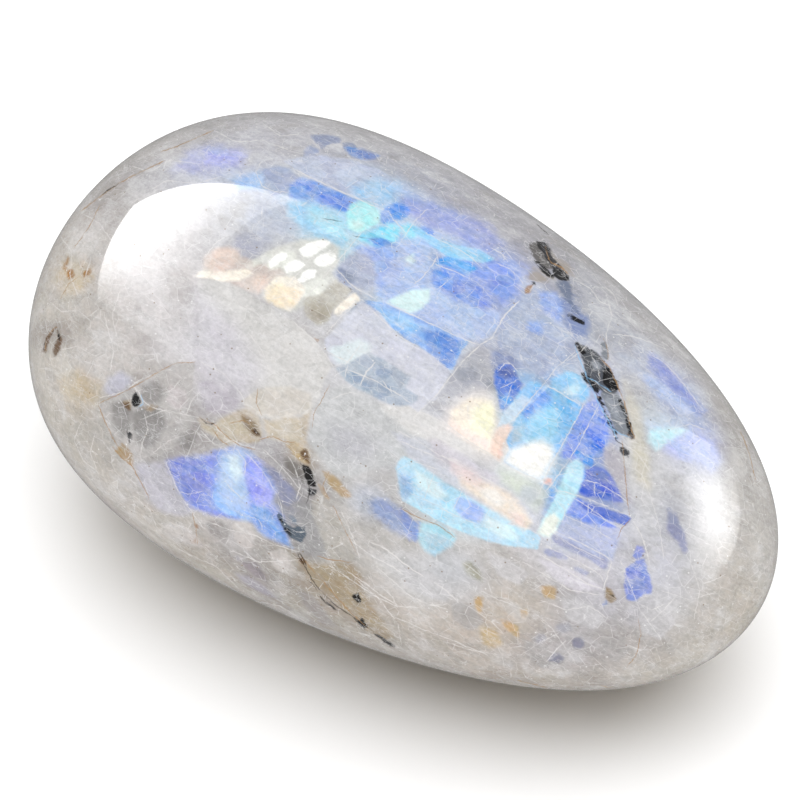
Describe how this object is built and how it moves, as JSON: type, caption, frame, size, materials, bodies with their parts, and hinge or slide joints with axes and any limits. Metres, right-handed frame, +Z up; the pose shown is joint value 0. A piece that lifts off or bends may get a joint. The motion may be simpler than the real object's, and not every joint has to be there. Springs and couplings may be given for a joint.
{
  "type": "polished rainbow moonstone pebble",
  "caption": "Tumble-polished, egg-shaped rainbow moonstone with blue sheen and dark inclusions, resting on a small flat spot.",
  "frame": {"origin": "on the flat spot that the stone rests on, straight below its centre of mass", "axes": "+Z up from the surface it rests on, +X along the stone towards its slim end, +Y across it"},
  "size_m": [0.07, 0.0438, 0.0358],
  "materials": {
    "moonstone": "high polish over milky, translucent feldspar with blue, white and peach sheen, grey windows, tan stains and black flecks"
  },
  "bodies": {
    "root": {"moonstone": "moonstone"}
  },
  "joints": []
}
